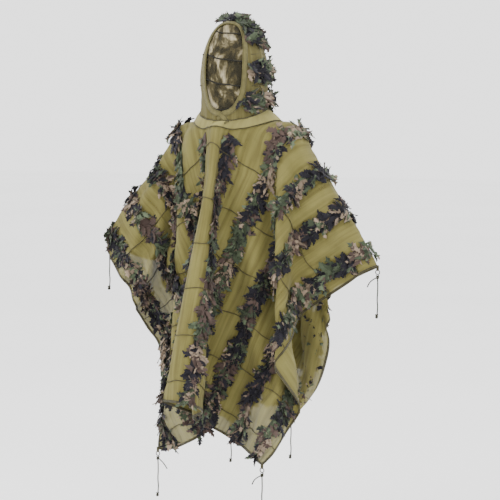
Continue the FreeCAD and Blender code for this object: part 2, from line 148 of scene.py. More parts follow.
def grid_faces(rows, columns, start=0, flip=False):
    """Quads of a grid of points stored row by row."""
    faces = []
    for i in range(rows - 1):
        for j in range(columns - 1):
            a = start + i * columns + j
            quad = (a, a + 1, a + 1 + columns, a + columns)
            faces.append(quad[::-1] if flip else quad)
    return faces


def closed_band(name, outer, inner, uv, material):
    """Closed solid between two grids of points with one layout."""
    rows, columns = outer.shape[:2]
    count = rows * columns
    verts = np.concatenate([outer.reshape(-1, 3), inner.reshape(-1, 3)])
    uvs = np.concatenate([uv.reshape(-1, 2)] * 2)
    faces = grid_faces(rows, columns) + grid_faces(rows, columns, count, True)
    edge = list(range(columns)) + [i * columns + columns - 1 for i in range(1, rows)]
    edge += [(rows - 1) * columns + j for j in range(columns - 2, -1, -1)]
    edge += [i * columns for i in range(rows - 2, 0, -1)]
    for a, b in zip(edge, edge[1:] + edge[:1]):
        faces.append((b, a, a + count, b + count))
    return add_object(name, verts, faces, material, uvs)


def ring_faces(rings, sides, start=0):
    """Quads between closed rings of points stored one after another."""
    faces = []
    for i in range(rings - 1):
        for k in range(sides):
            a, b = start + i * sides + k, start + i * sides + (k + 1) % sides
            faces.append((a, b, b + sides, a + sides))
    return faces


def swept(name, points, rings, across, material):
    """Closed-ended solid through a ring of points round each point of a line; across is the
    second uv of each point of a ring."""
    count, sides = rings.shape[:2]
    run = np.concatenate([[0], np.cumsum(np.linalg.norm(np.diff(points, axis=0), axis=1))])
    uvs = [(s, place) for s in run for place in across]
    last = (count - 1) * sides
    faces = ring_faces(count, sides)
    faces += [tuple(range(sides))[::-1], tuple(range(last, last + sides))]
    return add_object(name, rings.reshape(-1, 3), faces, material, uvs)


def normals_along(points):
    """Two normals at each point of a line, turning as little as they can."""
    tangent = unit(np.gradient(points, axis=0))
    normals = [unit(np.cross(tangent[0], (0.3, 0.2, 0.93)))]
    for direction in tangent[1:]:
        normals.append(unit(normals[-1] - direction * np.dot(normals[-1], direction)))
    normals = np.array(normals)
    return normals, np.cross(tangent, normals)


def tube(name, points, radius, material, sides=8):
    """Closed-ended tube along a line of points."""
    points = np.asarray(points, float)
    first, second = normals_along(points)
    angles = np.arange(sides) * 2 * math.pi / sides
    ring = (first[:, None] * np.cos(angles)[None, :, None]
            + second[:, None] * np.sin(angles)[None, :, None])
    return swept(name, points, points[:, None] + ring * radius, np.arange(sides) / sides, material)


def ribbon(name, points, normals, width, thickness, material):
    """Closed flat ribbon along a line, rounded at its edges."""
    points, normals = np.asarray(points, float), np.asarray(normals, float)
    side = unit(np.cross(unit(np.gradient(points, axis=0)), normals))
    angles = np.arange(12) * 2 * math.pi / 12
    flat = np.sign(np.cos(angles)) * np.abs(np.cos(angles)) ** 0.6 * width / 2
    deep = np.sign(np.sin(angles)) * np.abs(np.sin(angles)) ** 0.8 * thickness / 2
    rings = (points[:, None] + side[:, None] * flat[None, :, None]
             + normals[:, None] * deep[None, :, None])
    return swept(name, points, rings, flat, material)


def thicken(obj, thickness):
    """Give a cloth surface its own thickness."""
    shell = obj.modifiers.new("thickness", "SOLIDIFY")
    shell.thickness = thickness
    shell.offset = 0
    return obj


def shade_points(obj, tones):
    """Make each point's print lighter or darker by its tone."""
    colours = np.stack([tones, tones, tones, np.ones_like(tones)], axis=1).astype(np.float32)
    shade = obj.data.color_attributes.new("shade", "FLOAT_COLOR", "POINT")
    shade.data.foreach_set("color", colours.ravel())


# ------------------------------------------------------------------ materials
def new_material(name, roughness=0.9):
    """Plain cloth material: returns it with its node tree and shader."""
    material = bpy.data.materials.new(name)
    material.use_nodes = True
    tree = material.node_tree
    shader = tree.nodes["Principled BSDF"]
    shader.inputs["Roughness"].default_value = roughness
    shader.inputs["Specular IOR Level"].default_value = 0.25
    return material, tree, shader


def node(tree, kind, **values):
    """New node; capitalised names with spaces as underscores are inputs, the rest settings."""
    made = tree.nodes.new(kind)
    for key, value in values.items():
        if key[0].isupper():
            made.inputs[key.replace("_", " ")].default_value = value
        else:
            setattr(made, key, value)
    return made


def ramp(tree, source, stops):
    """Colour ramp over a factor; stops are (position, colour)."""
    made = tree.nodes.new("ShaderNodeValToRGB")
    elements = made.color_ramp.elements
    while len(elements) < len(stops):
        elements.new(0.5)
    for element, (position, colour) in zip(elements, stops):
        element.position = position
        element.color = (*colour, 1)
    tree.links.new(source, made.inputs["Fac"])
    return made.outputs["Color"]


def mix(tree, factor, first, second, blend="MIX"):
    """Blend of two colours, each a socket or a colour; factor is a socket or a number."""
    made = tree.nodes.new("ShaderNodeMix")
    made.data_type = "RGBA"
    made.blend_type = blend
    factor_socket, first_socket, second_socket = (made.inputs[k] for k in (0, 6, 7))
    for socket, value in ((factor_socket, factor), (first_socket, first), (second_socket, second)):
        if isinstance(value, bpy.types.NodeSocket):
            tree.links.new(value, socket)
        elif isinstance(value, tuple):
            socket.default_value = (*value, 1)
        else:
            socket.default_value = value
    return made.outputs[2]


def times(tree, first, second):
    """Product of two colours."""
    return mix(tree, 1.0, first, second, "MULTIPLY")


def grey(tone):
    """Colour of one tone."""
    return (tone, tone, tone)


def flat_coordinates(tree):
    """Flat cloth coordinates, in metres."""
    return node(tree, "ShaderNodeUVMap", uv_map="flat").outputs["UV"]


def noise_at(tree, vector, scale, detail=2.0, rough=0.5, distortion=0.0):
    """Noise factor at a scale."""
    made = node(tree, "ShaderNodeTexNoise", Scale=scale, Detail=detail, Roughness=rough,
                Distortion=distortion)
    tree.links.new(vector, made.inputs["Vector"])
    return made.outputs["Fac"]


def wave_at(tree, vector, scale, direction, distortion=0.0):
    """Parallel threads across one direction."""
    made = node(tree, "ShaderNodeTexWave", Scale=scale, Distortion=distortion,
                bands_direction=direction)
    tree.links.new(vector, made.inputs["Vector"])
    return made.outputs["Fac"]


def weave_height(tree, vector, scale):
    """Height of crossed threads."""
    add = node(tree, "ShaderNodeMath", operation="ADD")
    tree.links.new(wave_at(tree, vector, scale, "X"), add.inputs[0])
    tree.links.new(wave_at(tree, vector, scale, "Y"), add.inputs[1])
    return add.outputs[0]


def bump(tree, shader, height, strength, distance):
    """Bump from a height socket."""
    made = node(tree, "ShaderNodeBump", Strength=strength, Distance=distance)
    tree.links.new(height, made.inputs["Height"])
    tree.links.new(made.outputs["Normal"], shader.inputs["Normal"])


def stretched(tree, vector, across, along):
    """Coordinates scaled across and along the cloth."""
    scaled = node(tree, "ShaderNodeMapping")
    scaled.inputs["Scale"].default_value = (across, along, 1.0)
    tree.links.new(vector, scaled.inputs["Vector"])
    return scaled.outputs["Vector"]


def mesh_material(name, low, high, alpha, depth=1.0):
    """Sheer mesh: cloudy colour, fine gathers down the cloth with painted shade in their hollows and
    painted light on their ridges, crossed threads, see-through.
    """
    material, tree, shader = new_material(name, 0.9)
    vector = flat_coordinates(tree)
    cloud = noise_at(tree, vector, 6.0, 4.0, 0.6)
    base = ramp(tree, cloud, [(0.3, low), (0.7, high)])
    gathers = noise_at(tree, stretched(tree, vector, 1.0, 0.06), 70.0, 2.0, 0.5)
    # Painted shade and light: the gathers' colour is darkened brownish in their hollows and lightened
    # on their ridges, scaled by depth.
    fold_shade_lines = ramp(tree, gathers, [(0.34, (1 - 0.28 * depth, 1 - 0.31 * depth, 1 - 0.36 * depth)),
                                 (0.62, grey(1.06))])
    threads = weave_height(tree, vector, 260.0)
    fine = ramp(tree, threads, [(0.0, grey(0.82)), (1.0, grey(1.0))])
    colour = times(tree, times(tree, base, fold_shade_lines), fine)
    tree.links.new(colour, shader.inputs["Base Color"])
    shader.inputs["Alpha"].default_value = alpha
    shader.inputs["Sheen Weight"].default_value = 0.05
    shader.inputs["Sheen Roughness"].default_value = 0.5
    bump(tree, shader, gathers, 0.45 * depth, 0.005)
    return material


def tape_material(name, low, high, stitch_at):
    """Woven tape with a row of dark stitches at a distance each side of its middle."""
    material, tree, shader = new_material(name, 0.85)
    vector = flat_coordinates(tree)
    grain = noise_at(tree, vector, 60.0, 3.0)
    base = ramp(tree, grain, [(0.35, low), (0.65, high)])
    threads = weave_height(tree, vector, 420.0)
    fine = ramp(tree, threads, [(0.0, grey(0.7)), (1.0, grey(1.05))])
    parts = node(tree, "ShaderNodeSeparateXYZ")
    tree.links.new(vector, parts.inputs["Vector"])
    aside = node(tree, "ShaderNodeMath", operation="ABSOLUTE")
    tree.links.new(parts.outputs["Y"], aside.inputs[0])
    offset = node(tree, "ShaderNodeMath", operation="COMPARE")
    tree.links.new(aside.outputs[0], offset.inputs[0])
    offset.inputs[1].default_value = stitch_at
    offset.inputs[2].default_value = 0.0007
    seam = ramp(tree, offset.outputs[0], [(0.4, grey(1.0)), (0.6, (0.45, 0.43, 0.38))])
    colour = times(tree, times(tree, base, fine), seam)
    tree.links.new(colour, shader.inputs["Base Color"])
    shader.inputs["Sheen Weight"].default_value = 0.1
    bump(tree, shader, threads, 0.5, 0.0005)
    return material


def cord_material(name, low, high):
    """Braided cord: slanted strands round the tube."""
    material, tree, shader = new_material(name, 0.75)
    vector = flat_coordinates(tree)
    strands = node(tree, "ShaderNodeTexWave", Scale=0.5, bands_direction="DIAGONAL")
    tree.links.new(stretched(tree, vector, 400.0, 1.0), strands.inputs["Vector"])
    tree.links.new(ramp(tree, strands.outputs["Fac"], [(0.2, low), (0.8, high)]),
                   shader.inputs["Base Color"])
    bump(tree, shader, strands.outputs["Fac"], 0.6, 0.0006)
    return material


def leaf_material(name):
    """Printed camouflage fabric: patches of tan, brown, black and two greens."""
    material, tree, shader = new_material(name, 0.88)
    vector = flat_coordinates(tree)
    warp = node(tree, "ShaderNodeTexNoise", Scale=9.0, Detail=1.0)
    tree.links.new(vector, warp.inputs["Vector"])
    shifted = node(tree, "ShaderNodeVectorMath", operation="MULTIPLY_ADD")
    tree.links.new(warp.outputs["Color"], shifted.inputs[0])
    shifted.inputs[1].default_value = (0.05, 0.05, 0.0)
    tree.links.new(vector, shifted.inputs[2])
    place = shifted.outputs["Vector"]
    colour = (0.040, 0.052, 0.029)
    # Scale, level at which it starts, colour and place in the noise of each patch, laid in order.
    layers = [(21.0, 0.550, (0.080, 0.102, 0.058), 0.0), (17.0, 0.530, (0.064, 0.042, 0.034), 3.1),
              (19.0, 0.590, (0.220, 0.165, 0.115), 7.7), (19.0, 0.530, (0.0095, 0.0085, 0.0125), 5.3)]
    for scale, edge, patch, offset in layers:
        moved = node(tree, "ShaderNodeVectorMath", operation="ADD")
        tree.links.new(place, moved.inputs[0])
        moved.inputs[1].default_value = (offset, offset * 0.7, offset)
        field = noise_at(tree, moved.outputs["Vector"], scale, 1.5, 0.4)
        mask = ramp(tree, field, [(edge - 0.012, grey(0)), (edge + 0.012, grey(1))])
        colour = mix(tree, mask, colour, patch)
    shade = node(tree, "ShaderNodeAttribute", attribute_name="shade")
    colour = times(tree, colour, shade.outputs["Color"])
    threads = weave_height(tree, vector, 330.0)
    tree.links.new(colour, shader.inputs["Base Color"])
    shader.inputs["Sheen Weight"].default_value = 0.05
    bump(tree, shader, threads, 0.35, 0.0004)
    return material


def veil_material(name):
    """Sheer veil with a dark blotched print on beige, streaked down the cloth by folds whose shade is
    painted into the colour.
    """
    material, tree, shader = new_material(name, 0.85)
    vector = flat_coordinates(tree)
    blotch = noise_at(tree, stretched(tree, vector, 1.0, 0.62), 19.0, 4.0, 0.62, 0.4)
    fold_shade_lines = noise_at(tree, stretched(tree, vector, 1.0, 0.06), 160.0, 3.0)
    base = ramp(tree, blotch, [(0.43, (0.018, 0.015, 0.006)), (0.505, (0.056, 0.045, 0.018)),
                               (0.545, (0.20, 0.17, 0.095)), (0.60, (0.37, 0.32, 0.21))])
    # Painted shade: the veil's colour is darkened along its fold streaks and lightened between them.
    soft = ramp(tree, fold_shade_lines, [(0.3, grey(0.72)), (0.7, grey(1.1))])
    tree.links.new(times(tree, base, soft), shader.inputs["Base Color"])
    shader.inputs["Alpha"].default_value = 0.9
    bump(tree, shader, fold_shade_lines, 0.5, 0.001)
    return material


# ------------------------------------------------------------------ the wearer's form
def form_part(name, start, end, start_radius, end_radius, depth=1.0):
    """Rounded limb that the cloth falls on; depth squeezes it from front to back."""
    start, end = Vector(start), Vector(end)
    axis = (end - start).normalized()
    side = axis.cross(Vector((0, 1, 0))).normalized()
    front = side.cross(axis).normalized()
    sides, caps = 20, 6
    profile = []
    for k in range(1, caps):
        angle = math.pi / 2 * k / caps
        profile.append((start - axis * start_radius * math.cos(angle), start_radius * math.sin(angle)))
    profile += [(start, start_radius), (end, end_radius)]
    for k in range(caps - 1, 0, -1):
        angle = math.pi / 2 * k / caps
        profile.append((end + axis * end_radius * math.cos(angle), end_radius * math.sin(angle)))
    bm = bmesh.new()
    rings = []
    for centre, radius in profile:
        ring = []
        for k in range(sides):
            angle = 2 * math.pi * k / sides
            offset = front * (radius * depth * math.cos(angle)) + side * (radius * math.sin(angle))
            ring.append(bm.verts.new(centre + offset))
        rings.append(ring)
    first = bm.verts.new(start - axis * start_radius)
    last = bm.verts.new(end + axis * end_radius)
    for k in range(sides):
        after = (k + 1) % sides
        bm.faces.new((first, rings[0][k], rings[0][after]))
        bm.faces.new((last, rings[-1][after], rings[-1][k]))
        for low, high in zip(rings, rings[1:]):
            bm.faces.new((low[k], high[k], high[after], low[after]))
    bmesh.ops.recalc_face_normals(bm, faces=bm.faces)
    mesh = bpy.data.meshes.new(name)
    bm.to_mesh(mesh)
    bm.free()
    limb = bpy.data.objects.new(name, mesh)
    SCENE.collection.objects.link(limb)
    limb.modifiers.new("collision", "COLLISION")
    limb.collision.thickness_outer = 0.006
    limb.collision.cloth_friction = 8
    return limb


def wearer_form():
    """Neck, shoulders, trunk and lowered arms, as the cloth shows them."""
    limbs = [
        form_part("form_neck", (0, 0, -0.12), (0, 0, 0.10), 0.06, 0.06),
        form_part("form_shoulders", (-0.17, 0.01, -0.118), (0.17, 0.01, -0.118), 0.062, 0.062),
        form_part("form_collar", (-0.07, 0.01, -0.100), (0.07, 0.01, -0.100), 0.060, 0.060),
        form_part("form_chest", (0, 0, -0.20), (0, 0, -0.35), 0.150, 0.140, 0.75),
        form_part("form_trunk", (0, 0, -0.35), (0, 0, -0.75), 0.135, 0.140, 0.75),
    ]
    for hand, out, wrist in ((1, 0.318, -0.499), (-1, 0.343, -0.468)):
        shoulder = (hand * 0.185, 0.01, -0.125)
        elbow = (hand * out, 0.005, -0.292)
        limbs.append(form_part("form_upper_arm", shoulder, elbow, 0.052, 0.032))
        limbs.append(form_part("form_forearm", elbow, (hand * 0.490, 0.0, wrist), 0.030, 0.016))
    return limbs


# ------------------------------------------------------------------ draping the sheet
COLUMNS = round(CLOTH_WIDTH / GRID)
ROWS = round(CLOTH_LENGTH / GRID)


def flat_point(i, j):
    """Flat coordinates of a grid point."""
    return (i - COLUMNS / 2) * GRID, (j - ROWS / 2) * GRID


def hole_ratio(u, v):
    """Less than one inside the neck hole."""
    return math.hypot(u / NECK_HOLE[0], v / NECK_HOLE[1])


def flat_sheet():
    """The cut sheet, level with the neck, with its oval hole; also the grid's point numbers."""
    verts, faces, index = [], [], {}
    for j in range(ROWS + 1):
        for i in range(COLUMNS + 1):
            u, v = flat_point(i, j)
            if hole_ratio(u, v) >= 1.0:
                index[i, j] = len(verts)
                ripple = 0.002 * math.sin(9 * u + 1) * math.sin(7 * v + 2)
                verts.append((u, v, 0.02 + ripple))
    for j in range(ROWS):
        for i in range(COLUMNS):
            quad = [(i, j), (i + 1, j), (i + 1, j + 1), (i, j + 1)]
            if all(place in index for place in quad):
                faces.append([index[place] for place in quad])
    mesh = bpy.data.meshes.new("cut_sheet")
    mesh.from_pydata(verts, [], faces)
    sheet = bpy.data.objects.new("cut_sheet", mesh)
    SCENE.collection.objects.link(sheet)
    return sheet, index


def pin_sheet(sheet, index):
    """Hold the neck edge and the six tie points, and lower them to their places."""
    held = {}
    for (i, j), number in index.items():
        u, v = flat_point(i, j)
        if hole_ratio(u, v) < 1.22:
            held[number] = (u, v, NECK_LEVEL - 0.10 * max(0.0, hole_ratio(u, v) - 1.0))
    ends = {"front_left": (COLUMNS, 0), "front_right": (0, 0), "back_left": (COLUMNS, ROWS),
            "back_right": (0, ROWS), "side_left": (COLUMNS, ROWS // 2), "side_right": (0, ROWS // 2)}
    for name, place in ends.items():
        held[index[place]] = TIES[name]
    group = sheet.vertex_groups.new(name="held")
    group.add(list(held), 1.0, "REPLACE")
    sheet.shape_key_add(name="Basis")
    lowered = sheet.shape_key_add(name="lowered")
    for number, place in held.items():
        lowered.data[number].co = place
    lowered.value = 0
    lowered.keyframe_insert("value", frame=1)
    lowered.value = 1
    lowered.keyframe_insert("value", frame=26)


def simulate_sheet(frames):
    """Drape the sheet over the form and return its grid of places, rows by columns."""
    sheet, index = flat_sheet()
    limbs = wearer_form()
    pin_sheet(sheet, index)
    cloth = sheet.modifiers.new("cloth", "CLOTH")
    settings = cloth.settings
    settings.quality = 5
    settings.mass = 0.10
    settings.air_damping = 2.2
    settings.tension_stiffness = 60
    settings.compression_stiffness = 60
    settings.shear_stiffness = 30
    settings.bending_stiffness = 0.5
    settings.tension_damping = 5
    settings.compression_damping = 5
    settings.shear_damping = 5
    settings.bending_damping = 0.5
    settings.vertex_group_mass = "held"
    collision = cloth.collision_settings
    collision.collision_quality = 2
    collision.distance_min = 0.006
    collision.use_self_collision = True
    collision.self_distance_min = 0.008
    collision.self_friction = 5
    SCENE.frame_start, SCENE.frame_end = 1, frames
    cloth.point_cache.frame_start, cloth.point_cache.frame_end = 1, frames
    for number in range(1, frames + 1):
        SCENE.frame_set(number)
    graph = bpy.context.evaluated_depsgraph_get()
    result = sheet.evaluated_get(graph).data
    places = np.empty((len(result.vertices), 3), np.float32)
    result.vertices.foreach_get("co", places.ravel())
    grid = np.empty((ROWS + 1, COLUMNS + 1, 3))
    for j in range(ROWS + 1):
        for i in range(COLUMNS + 1):
            if (i, j) in index:
                grid[j, i] = places[index[i, j]]
            else:
                grid[j, i] = (*flat_point(i, j), NECK_LEVEL)
    for extra in limbs + [sheet]:
        bpy.data.objects.remove(extra, do_unlink=True)
    SCENE.frame_set(1)
    return grid


def smoothed(grid, rounds):
    """Grid with the smallest crumples eased out; the edges are eased along themselves only."""
    grid = grid.copy()
    corners = [(0, 0), (0, -1), (-1, 0), (-1, -1), (ROWS // 2, 0), (ROWS // 2, -1)]
    kept = [grid[place].copy() for place in corners]
    for _ in range(rounds):
        inner = (grid[:-2, 1:-1] + grid[2:, 1:-1] + grid[1:-1, :-2] + grid[1:-1, 2:]) / 4
        edges = [(grid[0, :-2] + grid[0, 2:]) / 2, (grid[-1, :-2] + grid[-1, 2:]) / 2,
                 (grid[:-2, 0] + grid[2:, 0]) / 2, (grid[:-2, -1] + grid[2:, -1]) / 2]
        grid[1:-1, 1:-1] += 0.5 * (inner - grid[1:-1, 1:-1])
        grid[0, 1:-1] += 0.5 * (edges[0] - grid[0, 1:-1])
        grid[-1, 1:-1] += 0.5 * (edges[1] - grid[-1, 1:-1])
        grid[1:-1, 0] += 0.5 * (edges[2] - grid[1:-1, 0])
        grid[1:-1, -1] += 0.5 * (edges[3] - grid[1:-1, -1])
        for place, value in zip(corners, kept):
            grid[place] = value
    return grid


def halved(grid):
    """Grid with a new point between each two, on a smooth curve through them."""
    for _ in range(2):
        padded = np.concatenate([2 * grid[:1] - grid[1:2], grid, 2 * grid[-1:] - grid[-2:-1]])
        middle = (9 * (padded[1:-2] + padded[2:-1]) - padded[:-3] - padded[3:]) / 16
        fine = np.empty((2 * len(grid) - 1,) + grid.shape[1:])
        fine[0::2] = grid
        fine[1::2] = middle
        grid = fine.transpose(1, 0, 2)
    return grid


def neck_raised(grid):
    """Grid with the cloth round the neck lifted, and drawn forward in front, to meet the yoke."""
    grid = grid.copy()
    reach = np.hypot(grid[..., 0], grid[..., 1])
    share = np.clip((NECK_LIFT_OUTER - reach) / (NECK_LIFT_OUTER - NECK_LIFT_INNER), 0, 1)
    share = share * share * (3 - 2 * share)
    share *= np.clip((grid[..., 2] - NECK_LIFT_LOWEST) / NECK_LIFT_FADE, 0, 1)
    front = np.clip(-grid[..., 1] / CHEST_DEPTH, 0, 1)
    grid[..., 1] -= CHEST_PUSH * share * front
    grid[..., 2] += (NECK_LIFT + CHEST_LIFT * front) * share
    return grid


def edges_eased(grid):
    """Grid with the right sleeve's front flap drawn in to its tie and both hems drawn in."""
    grid = grid.copy()
    beyond = np.clip(-grid[..., 0] - SLEEVE_REACH, 0, None)
    flap = np.clip(-grid[..., 1] / SLEEVE_FLAP, 0, 1)
    grid[..., 0] += SLEEVE_SHARE * beyond * flap
    grid[..., 1] += HEM_SHARE * np.clip(-grid[..., 1] - FRONT_HEM_REACH, 0, None)
    grid[..., 1] -= HEM_SHARE * np.clip(grid[..., 1] - BACK_HEM_REACH, 0, None)
    return grid


def pleated(grid):
    """Grid with soft narrow pleats that run from front hem to back hem."""
    drape = Drape(grid)
    rows, columns = grid.shape[:2]
    depth = np.empty((rows, columns))
    for j in range(rows):
        v = j * drape.step - CLOTH_LENGTH / 2
        calm = 0.35 + 0.65 * min(1.0, abs(v) / 0.25)
        for i in range(columns):
            u = i * drape.step - CLOTH_WIDTH / 2
            wide = noise.noise(Vector((u * 21, v * 1.7, 3.3)))
            narrow = noise.noise(Vector((u * 47, v * 2.6, 8.1)))
            inward = min(CLOTH_WIDTH / 2 - abs(u), CLOTH_LENGTH / 2 - abs(v))
            edge = min(1.0, inward / PLEAT_MARGIN)
            depth[j, i] = (WIDE_PLEAT * wide + NARROW_PLEAT * narrow) * calm * max(0.0, edge)
    return grid + drape.normal * depth[..., None]


class Drape:
    """The draped sheet as a surface over its flat coordinates."""

    def __init__(self, grid):
        self.grid = grid
        self.rows, self.columns = grid.shape[:2]
        self.step = CLOTH_WIDTH / (self.columns - 1)
        across, along = np.gradient(grid, axis=1), np.gradient(grid, axis=0)
        self.across, self.along = unit(across), unit(along)
        self.normal = unit(np.cross(across, along))

    def sample(self, field, u, v):
        """Value of a field at flat coordinates, arrays of one shape."""
        x = np.clip((np.asarray(u) + CLOTH_WIDTH / 2) / self.step, 0, self.columns - 1.001)
        y = np.clip((np.asarray(v) + CLOTH_LENGTH / 2) / self.step, 0, self.rows - 1.001)
        i, j = x.astype(int), y.astype(int)
        a, b = (x - i)[..., None], (y - j)[..., None]
        low = field[j, i] * (1 - a) + field[j, i + 1] * a
        high = field[j + 1, i] * (1 - a) + field[j + 1, i + 1] * a
        return low * (1 - b) + high * b

    def at(self, u, v, lift=0.0):
        """Points of the sheet, raised from it by lift."""
        lift = np.asarray(lift, float)[..., None]
        return self.sample(self.grid, u, v) + self.sample(self.normal, u, v) * lift

    def band(self, name, u_values, v_values, low, high, material, uv=None):
        """Closed solid lying on the sheet between two heights."""
        u, v = np.meshgrid(u_values, v_values)
        if uv is None:
            uv = np.stack([u, v], axis=-1)
        return closed_band(name, self.at(u, v, high), self.at(u, v, low), uv, material)


def make_sheet(drape, material):
    """The mesh sheet itself, one surface with the neck hole, thickened."""
    rows, columns = drape.rows, drape.columns
    u = np.arange(columns) * drape.step - CLOTH_WIDTH / 2
    v = np.arange(rows) * drape.step - CLOTH_LENGTH / 2
    uu, vv = np.meshgrid(u, v)
    ratio = np.hypot(uu / NECK_HOLE[0], vv / NECK_HOLE[1])
    inside = (ratio < 1.0).ravel()
    faces = [quad for quad in grid_faces(rows, columns) if not inside[list(quad)].any()]
    used = np.zeros(rows * columns, bool)
    used[np.unique(np.array(faces))] = True
    number = np.cumsum(used) - 1
    faces = [tuple(int(number[k]) for k in quad) for quad in faces]
    verts = drape.grid.reshape(-1, 3)[used]
    uvs = np.stack([uu, vv], axis=-1).reshape(-1, 2)[used]
    piece = add_object("poncho_mesh", verts, faces, material, uvs)
    thicken(piece, MESH_THICK)
    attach(piece, "poncho")
    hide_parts("front_mesh", "back_mesh")


def make_bindings(drape, material):
    """Folded tape round all four edges."""
    half_width, half_length = CLOTH_WIDTH / 2, CLOTH_LENGTH / 2
    u_all = np.linspace(-half_width, half_width, 145)
    v_all = np.linspace(-half_length, half_length, 205)
    tape = np.array([0.0, 0.15, 0.85, 1.0]) * BINDING
    plans = [
        ("front_hem_binding", u_all, tape - half_length),
        ("back_hem_binding", u_all, half_length - tape[::-1]),
        ("left_side_binding", half_width - tape[::-1], v_all),
        ("right_side_binding", tape - half_width, v_all),
    ]
    for name, u_values, v_values in plans:
        u, v = np.meshgrid(u_values, v_values)
        run, aside = (u, half_length - np.abs(v)) if "hem" in name else (v, half_width - np.abs(u))
        flat = np.stack([run, aside - BINDING / 2], axis=-1)
        piece = drape.band(name + "_tape", u_values, v_values, -0.0018, 0.0018, material, flat)
        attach(piece, "poncho")
        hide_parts(name)


def make_tie_tabs(material):
    """Folded tape tab from each tie point down round the top of its loop."""
    for name, place in TIES.items():
        edge = Vector(place)
        line = [edge + Vector((0, 0, TAB_RISE - TAB_LENGTH * k / 6)) for k in range(7)]
        normals = [Vector((0, -1, 0))] * len(line)
        tab = ribbon("tie_%s_tab" % name, line, normals, TAB_WIDTH, TAB_THICK, material)
        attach(tab, "poncho")


# ------------------------------------------------------------------ leaves
# Distances along a leaf as shares of its length, and four outlines as half widths at them.
LEAF_STATIONS = np.array([0.0, 0.14, 0.26, 0.38, 0.50, 0.62, 0.74, 0.86, 1.0])
LEAF_OUTLINES = np.array([
    [0.30, 0.45, 1.00, 0.46, 0.98, 0.42, 0.80, 0.30, 0.05],
    [0.26, 0.85, 0.50, 1.00, 0.44, 0.90, 0.36, 0.52, 0.05],
    [0.34, 0.42, 0.92, 0.60, 1.05, 0.50, 0.66, 0.24, 0.05],
    [0.30, 0.70, 0.98, 0.62, 0.50, 0.82, 0.40, 0.34, 0.05],
])


def leaves(name, roots, normals, headings, flats, seed, material, length=(0.022, 0.042),
           stand=(0.02, 0.55)):
    """Mesh of lobed cloth leaves: each from a root, along a heading in the surface, curling."""
    rng = np.random.default_rng(seed)
    count = len(roots)
    stations = len(LEAF_STATIONS)
    heading = unit(headings - normals * np.sum(headings * normals, axis=1)[:, None])
    side = np.cross(normals, heading)
    reach = rng.uniform(*length, count)
    half = reach * rng.uniform(0.24, 0.36, count)
    rise = rng.uniform(*stand, count)
    droop = rng.uniform(-0.80, 0.10, count) * (0.25 + rise)
    twist = rng.uniform(-1.5, 1.5, count)
    cup = rng.uniform(-0.20, 0.70, count)
    bend = rng.uniform(-0.45, 0.45, count)
    s = LEAF_STATIONS[None, :]
    outline = LEAF_OUTLINES[rng.integers(0, len(LEAF_OUTLINES), count)]
    width = outline * half[:, None] * rng.uniform(0.75, 1.20, outline.shape)
    forward = reach[:, None] * s * (1 - 0.12 * rise[:, None] * s)
    height = 0.002 + reach[:, None] * (rise[:, None] * s + droop[:, None] * s ** 2)
    sway = reach[:, None] * bend[:, None] * s ** 2
    angle = twist[:, None] * s
    verts = np.empty((count, stations, 3, 3))
    uvs = np.empty((count, stations, 3, 2))
    for column, sign in enumerate((-1, 0, 1)):
        across = sign * width
        lobe = 0.36 * abs(sign) * width
        local_side = sway + across * np.cos(angle)
        local_up = height + across * np.sin(angle) + cup[:, None] * np.abs(across)
        verts[:, :, column] = (roots[:, None] + heading[:, None] * (forward + lobe)[..., None]
                               + side[:, None] * local_side[..., None]
                               + normals[:, None] * local_up[..., None])
        uvs[:, :, column, 0] = flats[:, None, 0] + across
        uvs[:, :, column, 1] = flats[:, None, 1] + forward
    quads = np.array(grid_faces(stations, 3))
    faces = (quads[None] + (np.arange(count) * stations * 3)[:, None, None]).reshape(-1, 4)
    piece = add_object(name, verts.reshape(-1, 3), faces.tolist(), material, uvs.reshape(-1, 2))
    shade_points(piece, np.repeat(rng.uniform(0.62, 1.20, count), stations * 3))
    return thicken(piece, LEAF_THICK)


def strip_leaves(name, drape, centre, v_start, v_end, seed, material):
    """Leaves down both sides of one strip, drooping towards the nearer hem."""
    rng = np.random.default_rng(seed)
    count = int((v_end - v_start) / LEAF_SPACING) * 2
    v = np.repeat(np.linspace(v_start, v_end, count // 2), 2) + rng.uniform(-0.006, 0.006, count)
    hand = np.tile([-1.0, 1.0], count // 2)
    clump = np.array([noise.noise(Vector((place * 21, seed, side))) for place, side in zip(v, hand)])
    v, hand = v[clump > LEAF_GAP_BELOW], hand[clump > LEAF_GAP_BELOW]
    count = len(v)
    offset = rng.uniform(-0.008, 0.018, count)
    u = np.clip(centre + hand * offset, -CLOTH_WIDTH / 2 + 0.004, CLOTH_WIDTH / 2 - 0.004)
    v = np.clip(v, -CLOTH_LENGTH / 2 + 0.004, CLOTH_LENGTH / 2 - 0.004)
    normals = drape.sample(drape.normal, u, v)
    across = drape.sample(drape.across, u, v)
    along = drape.sample(drape.along, u, v) * np.sign(v)[:, None]
    lean = rng.uniform(-0.10, 1.45, count)
    headings = across * (hand * np.cos(lean))[:, None] + along * np.sin(lean)[:, None]
    headings += np.array([0, 0, -0.25])
    flats = np.stack([u, v], axis=1) + rng.uniform(-0.012, 0.012, (count, 2))
    return leaves(name, drape.at(u, v, 0.003), normals, headings, flats, seed + 1, material)


